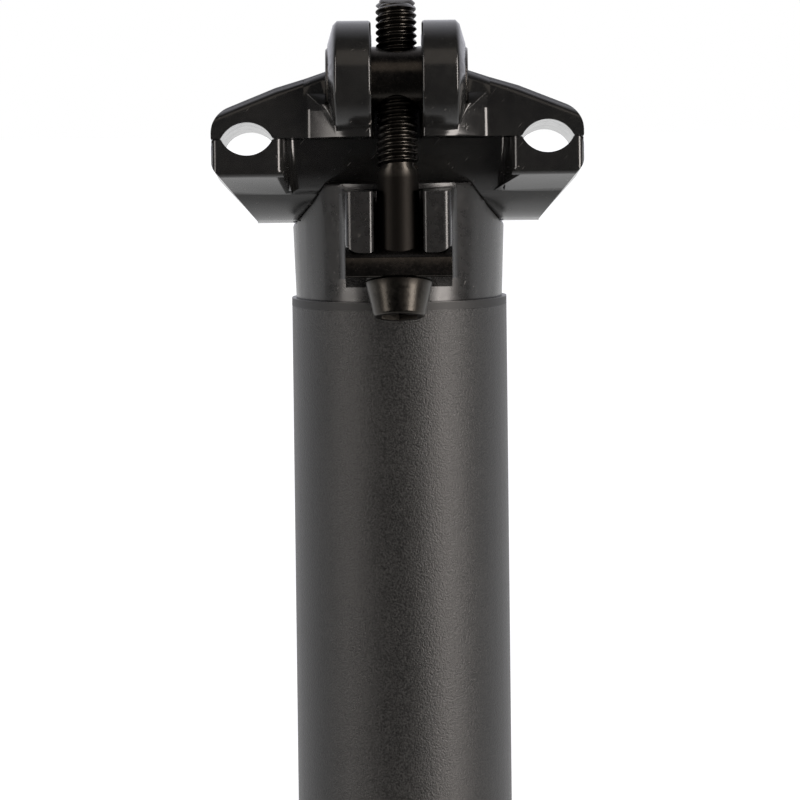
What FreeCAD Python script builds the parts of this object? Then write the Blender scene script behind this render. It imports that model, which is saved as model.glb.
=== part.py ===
"""Two-bolt micro-adjust bicycle seatpost.

The post stands along +Z with its cut end at the origin. +X is the rider's right and +Y points to
the front of the bicycle. The saddle clamp rocks in a round cradle about an axis along X, and is
drawn tilted, with its rear end (-Y) raised.
"""
import FreeCAD, Part
import math
import os
import re

import Sketcher
from FreeCAD import Placement, Rotation, Vector

# Driving dimensions in millimetres and degrees
SIZES = {
    # Tube
    "post_length": 350,
    "tube_diameter": 30.9,
    "tube_wall": 2.2,
    "tube_chamfer": 0.6,
    # Head: collar, neck and the spigot that is bonded into the tube
    "cradle_height": 23.5,
    "collar_height": 1.2,
    "neck_step": 0.65,
    "neck_taper": 2,
    "neck_height": 16.9,
    "spigot_length": 38,
    "bond_gap": 0.05,
    "socket_step": 0.2,
    "socket_spare": 0.5,
    "head_bore": 19,
    "head_roof": 8,
    # Forks that hold the bolts, one at each end of the head
    "fork_width": 15.2,
    "fork_top": 16.2,
    "fork_lean": 13,
    "fork_face": 3.6,
    "fork_lip": 2,
    "fork_corner": 2.2,
    "prong_round": 1.3,
    "slot_round": 0.7,
    "flank_round": 2.4,
    "slot_width": 7,
    "slot_relief": 0.8,
    "bolt_reach": 21.7,
    "pivot_height": 3.3,
    "seat_clearance": 0.1,
    # Saddle clamp, both halves
    "clamp_tilt": 5,
    "clamp_width": 53,
    "clamp_length": 33,
    "cradle_diameter": 25.6,
    "cradle_clearance": 0.1,
    "seam_drop": 1.4,
    "seam_gap": 0.1,
    "rail_diameter": 7,
    "rail_spacing": 42.8,
    "rail_clearance": 0.6,
    "groove_depth": 2.3,
    "groove_round": 0.3,
    # Lower half
    "block_height": 5.2,
    "block_slope": 16,
    "block_round": 1.1,
    "waist_front": 33,
    "waist_back": 29.8,
    "waist_depth": 7.1,
    "waist_round": 1.5,
    "bevel_top": 5.4,
    "bevel_low": 12.6,
    "bevel_width": 40.4,
    "bevel_round": 2.5,
    # Upper half
    "wing_height": 3.5,
    "wing_end_round": 4,
    "slope_height": 7.2,
    "slope_width": 34.5,
    "brow_height": 9,
    "brow_width": 22.4,
    "crown_height": 9.6,
    "crown_width": 19.6,
    "wing_chamfer": 1.2,
    "web_width": 25.6,
    "web_tip": 17,
    "web_slant": 35,
    "web_round": 2,
    "web_radius": 8.2,
    "web_reach": 11.2,
    "ear_diameter": 16.4,
    "ear_gap": 7.2,
    "ear_hub": 6.2,
    "ear_rim": 5.4,
    "ear_chamfer": 0.6,
    "hub_diameter": 9.6,
    "slot_radius": 5.2,
    # Barrel nuts
    "nut_reach": 15.5,
    "nut_height": 7.1,
    "nut_diameter": 9,
    "nut_length": 20.2,
    "nut_chamfer": 0.4,
    "nut_clearance": 0.05,
    "thread_clearance": 0.3,
    # Bolts and half-round washers
    "bolt_diameter": 6,
    "bolt_length": 40,
    "bolt_chamfer": 0.8,
    "head_height": 5,
    "head_top": 9.5,
    "head_bottom": 7.4,
    "head_chamfer": 0.4,
    "hex_size": 5,
    "hex_depth": 3,
    "washer_radius": 5,
    "washer_depth": 8.5,
    "washer_width": 15.1,
    "washer_chamfer": 0.4,
    "washer_clearance": 0.2,
}

# Places worked out from the sizes, as formulas in the sheet's names
SHOULDER = "(post_length - cradle_height)"
PIVOT = f"({SHOULDER} + pivot_height)"
CRADLE_RADIUS = "(cradle_diameter / 2)"
GROOVE_RADIUS = "(rail_diameter / 2 + rail_clearance)"
SEAT_RADIUS = "(washer_radius + seat_clearance)"
UPPER_SEAM = "(seam_gap - seam_drop)"
EAR_OUTSIDE = "(ear_gap / 2 + ear_hub)"
# Longer than any cut has to be, for cuts that go right through
THROUGH = "(clamp_width * 2)"
REAR, FRONT = -1, 1
LEFT, RIGHT = -1, 1

doc = FreeCAD.newDocument("Seatpost")
sheet = doc.addObject("Spreadsheet::Sheet", "Sizes")
for row, (alias, number) in enumerate(SIZES.items(), start=1):
    sheet.set(f"A{row}", alias.replace("_", " "))
    sheet.set(f"B{row}", str(number))
    sheet.setAlias(f"B{row}", alias)
doc.recompute()


def bound(formula):
    """Turn a formula in the sheet's names into an expression of the document."""
    return re.sub(r"[a-z]+(?:_[a-z]+)+", lambda found: "Sizes." + found.group(), formula)


def value(formula):
    """Work a formula out to a number, as it stands now."""
    result = sheet.evalExpression(bound(formula))
    return float(getattr(result, "Value", result))


def sine(angle):
    return f"sin({angle} * 1 deg)"


def cosine(angle):
    return f"cos({angle} * 1 deg)"


def tangent(angle):
    return f"tan({angle} * 1 deg)"


def leaning(end, outward, upward):
    """Give the Y and Z of a point in the frame of one end's bolt seat.

    Outward is measured square to the fork's leaning face and upward along it, from the pivot
    that the half-round washer rocks about.
    """
    across = f"(bolt_reach + ({outward}) * {cosine('fork_lean')} - ({upward}) * {sine('fork_lean')})"
    height = f"{PIVOT} + ({outward}) * {sine('fork_lean')} + ({upward}) * {cosine('fork_lean')}"
    return f"{end} * {across}", height


def nut_place(end):
    """Give the Y and Z of one end's nut in the post's frame, with the clamp at its tilt."""
    across = f"({end} * nut_reach * {cosine('clamp_tilt')} + nut_height * {sine('clamp_tilt')})"
    height = f"(post_length - {end} * nut_reach * {sine('clamp_tilt')} + nut_height * {cosine('clamp_tilt')})"
    return across, height


def bolt_turn(end):
    """Give the turn about X that points a bolt from its pivot at its nut."""
    across, height = nut_place(end)
    return f"-atan2({across} - {end} * bolt_reach; {height} - {PIVOT})"


def new_body(name):
    body = doc.addObject("PartDesign::Body", name)
    body.Label = name
    return body


def place(body, across, height, turn):
    """Put a body's own frame at a Y and Z of the post, turned about X."""
    body.Placement = Placement(Vector(0, 0, 1), Rotation(Vector(1, 0, 0), 1))
    body.setExpression("Placement.Base.y", bound(across))
    body.setExpression("Placement.Base.z", bound(height))
    body.setExpression("Placement.Rotation.Angle", bound(turn))


def sketch_on(body, name, role, lift=None, shift=None, turn=None):
    """Start a sketch on one of the body's origin planes, if need be moved in Y and Z and turned about X."""
    sketch = body.newObject("Sketcher::SketchObject", name)
    plane = next(datum for datum in body.Origin.OriginFeatures if datum.Role == role)
    sketch.AttachmentSupport = [(plane, "")]
    sketch.MapMode = "FlatFace"
    if turn:
        sketch.AttachmentOffset = Placement(Vector(0, 0, 0), Rotation(Vector(1, 0, 0), 1))
        sketch.setExpression("AttachmentOffset.Rotation.Angle", bound(turn))
    if lift:
        sketch.setExpression("AttachmentOffset.Base.z", bound(lift))
    if shift:
        sketch.setExpression("AttachmentOffset.Base.y", bound(shift))
    return sketch


def hold(sketch, kind, formula, *where):
    """Add one dimension to a sketch and bind it to its formula."""
    index = sketch.addConstraint(Sketcher.Constraint(kind, *where, value(formula)))
    name = f"{kind.lower()}_{index}"
    sketch.renameConstraint(index, name)
    sketch.setExpression(f"Constraints.{name}", bound(formula))


def draw_outline(sketch, points):
    """Draw a closed outline through points given as formulas.

    A point is (x, y), or (x, y, centre x, centre y, way) where the edge that arrives at it is an
    arc about that centre that turns "left" or "right" on its way there.
    """
    spots = [Vector(value(point[0]), value(point[1]), 0) for point in points]
    edges = []
    for index, point in enumerate(points):
        start, end = spots[index - 1], spots[index]
        if len(point) == 2:
            edges.append((sketch.addGeometry(Part.LineSegment(start, end)), 1, 2))
            continue
        centre = Vector(value(point[2]), value(point[3]), 0)
        first, last = (start, end) if point[4] == "left" else (end, start)
        angles = [math.atan2(spot.y - centre.y, spot.x - centre.x) for spot in (first, last)]
        if angles[1] < angles[0]:
            angles[1] += 2 * math.pi
        circle = Part.Circle(centre, Vector(0, 0, 1), (start - centre).Length)
        geometry = sketch.addGeometry(Part.ArcOfCircle(circle, *angles))
        hold(sketch, "DistanceX", point[2], -1, 1, geometry, 3)
        hold(sketch, "DistanceY", point[3], -1, 1, geometry, 3)
        edges.append((geometry, 1, 2) if point[4] == "left" else (geometry, 2, 1))
    for index, point in enumerate(points):
        before, after = edges[index], edges[(index + 1) % len(edges)]
        sketch.addConstraint(Sketcher.Constraint("Coincident", before[0], before[2], after[0], after[1]))
        flat = steep = True
        if len(point) > 2:
            away = spots[index] - Vector(value(point[2]), value(point[3]), 0)
            steep = abs(away.x) > abs(away.y)
            flat = not steep
        if flat:
            hold(sketch, "DistanceX", point[0], -1, 1, before[0], before[2])
        if steep:
            hold(sketch, "DistanceY", point[1], -1, 1, before[0], before[2])


def draw_circle(sketch, across, up, radius):
    """Draw a circle held by its centre and radius."""
    centre = Vector(value(across), value(up), 0)
    circle = sketch.addGeometry(Part.Circle(centre, Vector(0, 0, 1), value(radius)))
    hold(sketch, "Radius", radius, circle)
    hold(sketch, "DistanceX", across, -1, 1, circle, 3)
    hold(sketch, "DistanceY", up, -1, 1, circle, 3)


def solid_volume(body):
    doc.recompute()
    return body.Shape.Volume


def pad(body, sketch, length, sides="Symmetric"):
    """Add the sketch, drawn out to a length."""
    feature = body.newObject("PartDesign::Pad", sketch.Name + "_pad")
    feature.Profile = sketch
    feature.SideType = sides
    feature.setExpression("Length", bound(length))
    doc.recompute()
    return feature


def cut(body, sketch, length, sides="Symmetric"):
    """Cut the sketch out to a length, and see that it took something away."""
    before = solid_volume(body)
    feature = body.newObject("PartDesign::Pocket", sketch.Name + "_cut")
    feature.Profile = sketch
    feature.SideType = sides
    feature.setExpression("Length", bound(length))
    if not solid_volume(body) < before:
        raise ValueError(feature.Name + " cuts nothing")
    return feature


def revolve(body, sketch, axis="V_Axis"):
    """Turn the sketch right round one of its axes."""
    feature = body.newObject("PartDesign::Revolution", sketch.Name + "_turned")
    feature.Profile = sketch
    feature.ReferenceAxis = (sketch, [axis])
    feature.Angle = 360
    doc.recompute()
    return feature


def dress(body, kind, name, size, chosen):
    """Round or chamfer the edges of the solid so far that a test picks out."""
    doc.recompute()
    base = body.Tip
    edges = [f"Edge{number}" for number, edge in enumerate(base.Shape.Edges, start=1) if chosen(edge)]
    if not edges:
        raise ValueError(name + " finds no edge")
    feature = body.newObject(f"PartDesign::{kind}", name)
    feature.Base = (base, edges)
    feature.setExpression("Radius" if kind == "Fillet" else "Size", bound(size))
    doc.recompute()
    if "Invalid" in feature.State:
        raise ValueError(name + " has failed")


def near(number, formula, slack=0.02):
    """Tell whether a number is at plus or minus a formula's value."""
    return abs(abs(number) - abs(value(formula))) < slack


def lies_at(edge, axis, formula):
    """Tell whether the whole edge lies at plus or minus a formula's value along an axis."""
    box = edge.BoundBox
    ends = {"x": (box.XMin, box.XMax), "y": (box.YMin, box.YMax), "z": (box.ZMin, box.ZMax)}[axis]
    return all(near(end, formula) for end in ends)


def is_crease(shape, edge):
    """Tell whether the two faces that meet at this edge stand in a hollow corner."""
    faces = [face for face in shape.Faces if any(edge.isSame(other) for other in face.Edges)]
    if len(faces) != 2:
        return False
    middle = edge.valueAt((edge.FirstParameter + edge.LastParameter) / 2)
    first, second = (face.normalAt(*face.Surface.parameter(middle)) for face in faces)
    return shape.isInside(middle + (first - second) * 0.1, 0.001, True)


def make_tube():
    body = new_body("post_tube")
    sketch = sketch_on(body, "tube_section", "XZ_Plane")
    outside, inside = "tube_diameter / 2", "tube_diameter / 2 - tube_wall"
    top = f"{SHOULDER} - collar_height"
    draw_outline(sketch, [
        (inside, "0"),
        (f"{outside} - tube_chamfer", "0"),
        (outside, "tube_chamfer"),
        (outside, top),
        (f"{inside} + socket_step", top),
        (f"{inside} + socket_step", f"{top} - spigot_length - socket_spare"),
        (inside, f"{top} - spigot_length - socket_spare"),
    ])
    revolve(body, sketch)
    return body


def make_head():
    """Make the forging: neck, collar and spigot turned, forks added, then the cradle cut."""
    body = new_body("clamp_head")
    sketch = sketch_on(body, "head_section", "XZ_Plane")
    spigot = "tube_diameter / 2 - tube_wall + socket_step - bond_gap"
    collar = f"{SHOULDER} - collar_height"
    ceiling = f"post_length - {CRADLE_RADIUS} - head_roof"
    draw_outline(sketch, [
        ("0", ceiling),
        ("head_bore / 2", ceiling),
        ("head_bore / 2", f"{collar} - spigot_length"),
        (spigot, f"{collar} - spigot_length"),
        (spigot, collar),
        ("tube_diameter / 2", collar),
        ("tube_diameter / 2", SHOULDER),
        ("tube_diameter / 2 - neck_step", SHOULDER),
        (f"tube_diameter / 2 - neck_step + neck_height * {tangent('neck_taper')}", f"{SHOULDER} + neck_height"),
        ("0", f"{SHOULDER} + neck_height"),
    ])
    revolve(body, sketch)
    for end, side in ((REAR, "rear"), (FRONT, "front")):
        add_fork(body, end, side)

    def flank(edge):
        middle = edge.CenterOfMass
        return near(middle.x, "fork_width / 2", 0.3) and edge.BoundBox.ZLength > value("neck_height / 2")

    def reaches_out(edge):
        return abs(edge.CenterOfMass.y) > value("tube_diameter / 2")

    dress(body, "Fillet", "flank_fillet", "flank_round", lambda edge: flank(edge) and not reaches_out(edge))
    dress(body, "Fillet", "prong_side_fillet", "prong_round", lambda edge: flank(edge) and reaches_out(edge))
    for cut_one in (cut_bolt_slot, cut_washer_seat):
        for end, side in ((REAR, "rear"), (FRONT, "front")):
            cut_one(body, end, side)

    def slot_mouth(edge):
        return lies_at(edge, "x", "slot_width / 2") and near(edge.CenterOfMass.y, "bolt_reach + slot_round * 2", 1)

    dress(body, "Fillet", "slot_mouth_fillet", "slot_round",
          lambda edge: slot_mouth(edge) and edge.BoundBox.ZLength > value("neck_height / 2"))
    cradle = sketch_on(body, "cradle_circle", "YZ_Plane")
    draw_circle(cradle, "0", "post_length", f"{CRADLE_RADIUS} + cradle_clearance")
    cut(body, cradle, THROUGH)
    return body


def add_fork(body, end, side):
    """Add the block that one fork is cut from, leaning with its bolt."""
    sketch = sketch_on(body, f"{side}_fork_side", "YZ_Plane")
    inside = f"{end} * tube_diameter / 4"
    rise = f"(fork_top - pivot_height - fork_face * {sine('fork_lean')}) / {cosine('fork_lean')}"
    draw_outline(sketch, [
        (inside, f"{SHOULDER} + fork_top"),
        leaning(end, "fork_face", rise),
        leaning(end, "fork_face", "fork_lip"),
        (f"{end} * (bolt_reach - 1)", PIVOT),
        (inside, PIVOT),
    ])
    pad(body, sketch, "fork_width")


def cut_bolt_slot(body, end, side):
    """Cut the prongs' lower corners round, and the open slot that the bolt swings in."""
    corners = sketch_on(body, f"{side}_prong_corners", "XZ_Plane", lift=f"{-end} * bolt_reach",
                        shift=PIVOT, turn=f"{end} * fork_lean")
    low = f"sqrt(pow({SEAT_RADIUS}; 2) - pow(fork_face; 2))"
    for hand in (LEFT, RIGHT):
        outside, within = f"{hand} * fork_width / 2", f"{hand} * (fork_width / 2 - fork_corner)"
        draw_outline(corners, [
            (f"{hand} * fork_width", "0"),
            (f"{hand} * fork_width", f"{low} + fork_corner"),
            (outside, f"{low} + fork_corner"),
            (within, low, within, f"{low} + fork_corner", "right" if hand == RIGHT else "left"),
            (within, "0"),
        ])
    cut(body, corners, "fork_face * 2 + 1")

    slot = sketch_on(body, f"{side}_slot_outline", "XY_Plane", lift=PIVOT,
                     shift=f"{end} * bolt_reach", turn=f"{end} * fork_lean")
    inner, mouth = f"{-end} * slot_relief", f"{end} * (fork_face + slot_width)"
    draw_outline(slot, [
        ("-slot_width / 2", mouth),
        ("-slot_width / 2", inner),
        ("slot_width / 2", inner, "0", inner, "left" if end == FRONT else "right"),
        ("slot_width / 2", mouth),
    ])
    cut(body, slot, "neck_height * 2")


def cut_washer_seat(body, end, side):
    """Cut the round seat that the half-round washer rocks in."""
    seat = sketch_on(body, f"{side}_seat_circle", "YZ_Plane")
    draw_circle(seat, f"{end} * bolt_reach", PIVOT, SEAT_RADIUS)
    cut(body, seat, "fork_width * 1.2")


def make_lower_clamp():
    body = new_body("lower_clamp")
    place(body, "0", "post_length", "-clamp_tilt")
    seam = "-seam_drop"
    foot = f"{seam} - block_height"
    blocks = sketch_on(body, "block_side", "YZ_Plane")
    inner_foot = f"{foot} - (clamp_length / 2 - clamp_length / 6) * {tangent('block_slope')}"
    draw_outline(blocks, [
        ("clamp_length / 2", seam),
        ("-clamp_length / 2", seam),
        ("-clamp_length / 2", foot),
        ("-clamp_length / 6", inner_foot),
        ("clamp_length / 6", inner_foot),
        ("clamp_length / 2", foot),
    ])
    pad(body, blocks, "clamp_width")
    for end, side in ((REAR, "rear"), (FRONT, "front")):
        waist = sketch_on(body, f"{side}_waist_plan", "XY_Plane")
        outer, inner = f"{end} * (clamp_length / 2 + 1)", f"{end} * (clamp_length / 2 - waist_depth)"
        draw_outline(waist, [
            ("-waist_front / 2", outer),
            ("-waist_back / 2", inner),
            ("waist_back / 2", inner),
            ("waist_front / 2", outer),
        ])
        cut(body, waist, THROUGH)

    def outer_corner(edge):
        return lies_at(edge, "x", "clamp_width / 2") and lies_at(edge, "y", "clamp_length / 2")

    dress(body, "Fillet", "block_corner_fillet", "block_round", outer_corner)
    dress(body, "Fillet", "block_foot_fillet", "block_round",
          lambda edge: near(edge.CenterOfMass.z, foot, 0.3) and near(edge.CenterOfMass.y, "clamp_length / 2", 0.3))
    barrel = sketch_on(body, "barrel_side", "YZ_Plane")
    half = f"sqrt(pow({CRADLE_RADIUS}; 2) - pow(seam_drop; 2))"
    draw_outline(barrel, [
        (half, seam),
        (f"-{half}", seam),
        ("0", f"-{CRADLE_RADIUS}", "0", "0", "left"),
    ])
    pad(body, barrel, "clamp_width")
    cut_rail_grooves(body, "lower", f"{seam} - groove_depth + {GROOVE_RADIUS}")
    slant = "atan2((clamp_width - bevel_width) / 2; bevel_low - bevel_top)"
    rounding = f"bevel_round * tan({slant} / 2)"
    for end, side in ((LEFT, "left"), (RIGHT, "right")):
        bevel = sketch_on(body, f"{side}_bevel_front", "XZ_Plane")
        draw_outline(bevel, [
            (f"{end} * (clamp_width / 2 - {rounding} * sin({slant}))", f"-bevel_top - {rounding} * cos({slant})",
             f"{end} * (clamp_width / 2 - bevel_round)", f"-bevel_top + {rounding}",
             "right" if end == RIGHT else "left"),
            (f"{end} * bevel_width / 2", "-bevel_low"),
            (f"{end} * bevel_width / 2", f"-{CRADLE_RADIUS} * 2"),
            (f"{end} * clamp_width", f"-{CRADLE_RADIUS} * 2"),
            (f"{end} * clamp_width", f"-bevel_top + {rounding}"),
            (f"{end} * clamp_width / 2", f"-bevel_top + {rounding}"),
        ])
        cut(body, bevel, THROUGH)

    def waist_crease(edge):
        middle = edge.CenterOfMass
        inside = value("waist_back / 2") - 0.2 < abs(middle.x) < value("waist_front / 2")
        return inside and edge.BoundBox.ZMax < value(seam) - 0.01 and is_crease(body.Tip.Shape, edge)

    dress(body, "Fillet", "waist_fillet", "waist_round", waist_crease)
    return body


def cut_rail_grooves(body, half, height):
    """Cut the two grooves for the saddle rails, with their centres at a height."""
    grooves = sketch_on(body, f"{half}_rail_circles", "XZ_Plane")
    for side in (LEFT, RIGHT):
        draw_circle(grooves, f"{side} * rail_spacing / 2", height, GROOVE_RADIUS)
    cut(body, grooves, THROUGH)
    seam = "-seam_drop" if half == "lower" else UPPER_SEAM
    dress(body, "Fillet", f"{half}_groove_mouths", "groove_round",
          lambda edge: (abs(edge.BoundBox.ZMin - value(seam)) < 0.01 and edge.BoundBox.ZLength < 0.01
                        and edge.BoundBox.YLength > value("clamp_length") - 0.1
                        and abs(edge.CenterOfMass.x) < value("clamp_width / 2") - 0.1
                        and abs(edge.CenterOfMass.x) > value("rail_spacing / 4")))


def make_upper_clamp():
    """Make the upper half: winged lid, webs, ears, bolt slots, nut bores and rail grooves."""
    body = new_body("upper_clamp")
    place(body, "0", "post_length", "-clamp_tilt")
    lid = sketch_on(body, "lid_front", "XZ_Plane")
    profile = [
        ("clamp_width / 2", UPPER_SEAM),
        ("clamp_width / 2", f"{UPPER_SEAM} + wing_height"),
        ("slope_width / 2", f"{UPPER_SEAM} + slope_height"),
        ("brow_width / 2", f"{UPPER_SEAM} + brow_height"),
        ("crown_width / 2", f"{UPPER_SEAM} + crown_height"),
    ]
    draw_outline(lid, profile + [(f"-({x})", y) for x, y in reversed(profile)])
    pad(body, lid, "clamp_length")
    dress(body, "Chamfer", "wing_edge_chamfer", "wing_chamfer",
          lambda edge: (lies_at(edge, "y", "clamp_length / 2") and edge.BoundBox.XLength > 1
                        and edge.BoundBox.ZMin > value(UPPER_SEAM) + 0.1))
    dress(body, "Fillet", "wing_end_fillet", "wing_end_round",
          lambda edge: lies_at(edge, "x", "clamp_width / 2") and edge.BoundBox.YLength > value("clamp_length / 2")
          and edge.BoundBox.ZMin > value("wing_height / 2"))
    for end, side in ((REAR, "rear"), (FRONT, "front")):
        add_web(body, end, side)
        add_ears(body, end, side)
        cut_nut_slot(body, end, side)
    cut_rail_grooves(body, "upper", f"{UPPER_SEAM} + groove_depth - {GROOVE_RADIUS}")
    return body


def add_web(body, end, side):
    """Add the web between one pair of ears and the lid, with slanted flanks that round into the lid."""
    web = sketch_on(body, f"{side}_web_side", "YZ_Plane")
    middle = f"{end} * web_reach"
    draw_outline(web, [
        (middle, UPPER_SEAM),
        (f"{end} * (web_reach + web_radius)", UPPER_SEAM),
        (middle, f"{UPPER_SEAM} + web_radius", middle, UPPER_SEAM, "left" if end == FRONT else "right"),
    ])
    rounding = f"(web_round * {tangent('web_slant / 2')})"
    pad(body, web, f"web_width + {rounding} * 2")
    face, beyond = f"{end} * clamp_length / 2", f"{end} * clamp_length"
    for hand, name in ((LEFT, "left"), (RIGHT, "right")):
        plan = sketch_on(body, f"{side}_{name}_web_plan", "XY_Plane")
        root = f"{hand} * (web_width / 2 + {rounding})"
        centre = f"{end} * (clamp_length / 2 + web_round)"
        draw_outline(plan, [
            (f"{hand} * web_width", face),
            (f"{hand} * web_width", beyond),
            (f"{hand} * web_tip / 2", beyond),
            (f"{hand} * web_tip / 2",
             f"{end} * (clamp_length / 2 + (web_width - web_tip) / 2 * {tangent('web_slant')})"),
            (f"{hand} * (web_width / 2 - {rounding} * {cosine('web_slant')})",
             f"{end} * (clamp_length / 2 + {rounding} * {sine('web_slant')})"),
            (root, face, root, centre, "left" if hand * end == 1 else "right"),
        ])
        cut(body, plan, THROUGH)


def add_ears(body, end, side):
    """Add one pair of ears, each a thick hub that thins to its rim."""
    ears = sketch_on(body, f"{side}_ear_section", "XY_Plane", lift="nut_height", shift=f"{end} * nut_reach")
    for hand in (LEFT, RIGHT):
        draw_outline(ears, [
            (f"{hand} * ear_gap / 2", "0"),
            (f"{hand} * {EAR_OUTSIDE}", "0"),
            (f"{hand} * {EAR_OUTSIDE}", "hub_diameter / 2"),
            (f"{hand} * (ear_gap / 2 + ear_rim)", "ear_diameter / 2 - ear_chamfer"),
            (f"{hand} * (ear_gap / 2 + ear_rim - ear_chamfer)", "ear_diameter / 2"),
            (f"{hand} * ear_gap / 2", "ear_diameter / 2"),
        ])
    revolve(body, ears, "H_Axis")


def cut_nut_slot(body, end, side):
    """Cut the slot between one pair of ears, and the bore for the barrel nut."""
    slot = sketch_on(body, f"{side}_nut_slot_side", "YZ_Plane")
    middle = f"{end} * nut_reach"
    inner, outer = f"{end} * (nut_reach - slot_radius)", f"{end} * (nut_reach + ear_diameter)"
    top = "nut_height + slot_radius"
    draw_outline(slot, [
        (inner, f"{UPPER_SEAM} - 1"),
        (outer, f"{UPPER_SEAM} - 1"),
        (outer, f"{top} + ear_diameter"),
        (middle, f"{top} + ear_diameter"),
        (middle, top),
        (inner, "nut_height", middle, "nut_height", "left" if end == FRONT else "right"),
    ])
    cut(body, slot, "ear_gap")
    bore = sketch_on(body, f"{side}_nut_bore", "YZ_Plane")
    draw_circle(bore, middle, "nut_height", "nut_diameter / 2 + nut_clearance")
    cut(body, bore, "clamp_width / 2")


def make_nut(end, side):
    body = new_body(f"{side}_barrel_nut")
    across, height = nut_place(end)
    place(body, across, height, bolt_turn(end))
    barrel = sketch_on(body, f"{side}_nut_section", "XY_Plane")
    draw_outline(barrel, [
        ("-nut_length / 2", "0"),
        ("nut_length / 2", "0"),
        ("nut_length / 2", "nut_diameter / 2 - nut_chamfer"),
        ("nut_length / 2 - nut_chamfer", "nut_diameter / 2"),
        ("-nut_length / 2 + nut_chamfer", "nut_diameter / 2"),
        ("-nut_length / 2", "nut_diameter / 2 - nut_chamfer"),
    ])
    revolve(body, barrel, "H_Axis")
    hole = sketch_on(body, f"{side}_nut_hole", "XY_Plane")
    draw_circle(hole, "0", "0", "bolt_diameter / 2 + thread_clearance")
    cut(body, hole, "nut_diameter * 2")
    return body


def make_bolt(end, side):
    """Make one bolt, its head hanging below its own origin at the washer's pivot."""
    body = new_body(f"{side}_bolt")
    place(body, f"{end} * bolt_reach", PIVOT, bolt_turn(end))
    shank = sketch_on(body, f"{side}_bolt_section", "XZ_Plane")
    draw_outline(shank, [
        ("0", "-head_height"),
        ("head_bottom / 2 - head_chamfer", "-head_height"),
        ("head_bottom / 2", "-head_height + head_chamfer"),
        ("head_top / 2", "0"),
        ("bolt_diameter / 2", "0"),
        ("bolt_diameter / 2", "bolt_length - bolt_chamfer"),
        ("bolt_diameter / 2 - bolt_chamfer", "bolt_length"),
        ("0", "bolt_length"),
    ])
    revolve(body, shank)
    socket = sketch_on(body, f"{side}_bolt_socket", "XY_Plane", lift="-head_height + hex_depth / 2")
    corner = "(hex_size / sqrt(3))"
    draw_outline(socket, [
        (f"{corner} * {cosine(angle)}", f"{corner} * {sine(angle)}") for angle in range(0, 360, 60)
    ])
    cut(body, socket, "hex_depth")
    return body


def make_washer(end, side):
    """Make one half-round washer bar, its round side up in the fork's seat."""
    body = new_body(f"{side}_washer")
    place(body, f"{end} * bolt_reach", PIVOT, bolt_turn(end))
    bar = sketch_on(body, f"{side}_washer_side", "YZ_Plane")
    half, foot = "washer_depth / 2", "washer_chamfer"
    shoulder = "sqrt(pow(washer_radius; 2) - pow(washer_depth / 2; 2))"
    draw_outline(bar, [
        (f"{half} - {foot}", "0"),
        (half, foot),
        (half, shoulder),
        (f"-{half}", shoulder, "0", "0", "left"),
        (f"-{half}", foot),
        (f"-({half} - {foot})", "0"),
    ])
    pad(body, bar, "washer_width")
    hole = sketch_on(body, f"{side}_washer_hole", "XY_Plane")
    draw_circle(hole, "0", "0", "bolt_diameter / 2 + washer_clearance")
    cut(body, hole, "washer_radius * 4")
    return body


def main():
    bodies = [make_tube(), make_head(), make_lower_clamp(), make_upper_clamp()]
    for end, side in ((REAR, "rear"), (FRONT, "front")):
        bodies += [make_bolt(end, side), make_washer(end, side), make_nut(end, side)]
    doc.recompute()
    for item in doc.Objects:
        if "Invalid" in item.State or "Error" in item.State:
            raise ValueError(f"{item.Name} has failed: {item.State}")
    os.makedirs("parts", exist_ok=True)
    for body in bodies:
        if body.Shape.isNull() or not body.Shape.isValid() or len(body.Shape.Solids) != 1:
            raise ValueError(f"{body.Label} is not one valid solid")
        print(body.Label, round(body.Shape.Volume, 1), body.Shape.BoundBox)
        body.Shape.exportStep(f"parts/{body.Label}.step")


main()
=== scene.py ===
"""Dresses the bicycle seatpost: finished surfaces, real bolt threads and the studio it stands in."""
import logging
import math
from dataclasses import dataclass, field
from enum import Enum

import bmesh
import bpy
from mathutils import Matrix, Vector


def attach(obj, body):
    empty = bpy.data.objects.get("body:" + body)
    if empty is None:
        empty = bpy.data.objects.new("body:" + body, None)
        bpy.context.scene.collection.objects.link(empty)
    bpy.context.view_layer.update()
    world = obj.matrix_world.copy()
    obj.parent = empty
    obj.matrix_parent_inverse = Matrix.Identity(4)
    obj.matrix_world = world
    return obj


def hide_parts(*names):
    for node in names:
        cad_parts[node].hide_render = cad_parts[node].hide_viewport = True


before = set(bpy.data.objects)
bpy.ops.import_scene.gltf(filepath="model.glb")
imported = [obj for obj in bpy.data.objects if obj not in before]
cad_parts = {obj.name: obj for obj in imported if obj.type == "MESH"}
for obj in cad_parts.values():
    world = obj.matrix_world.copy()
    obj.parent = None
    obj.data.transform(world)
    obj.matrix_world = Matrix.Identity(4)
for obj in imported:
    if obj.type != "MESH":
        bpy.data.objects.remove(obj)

LOG = logging.getLogger("seatpost")
MM = 0.001
# A face's area weighs in square millimetres, because it is tiny in square metres
SQUARE_MM = 1e6
# The height of the clamp's axis in millimetres, and the clamp's tilt at rest in degrees
CRADLE_HEIGHT = 350.0
CLAMP_TILT = 5.0
# Bare aluminium, where the black is scratched or worn off
BARE_METAL = "#8f8b86"
# Faces that meet at less than this many degrees are shaded as one surface
SMOOTH_ANGLE = 50
# Triangles of a CAD mesh that meet at less than this many degrees are one flat face
FLAT_ANGLE = 0.6
# Corners of a CAD mesh that are nearer than this are one corner
MERGE_MM = 0.0005
ROUND_SEGMENTS = 3
EDGE_LAYER = "edge_wear"
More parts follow.
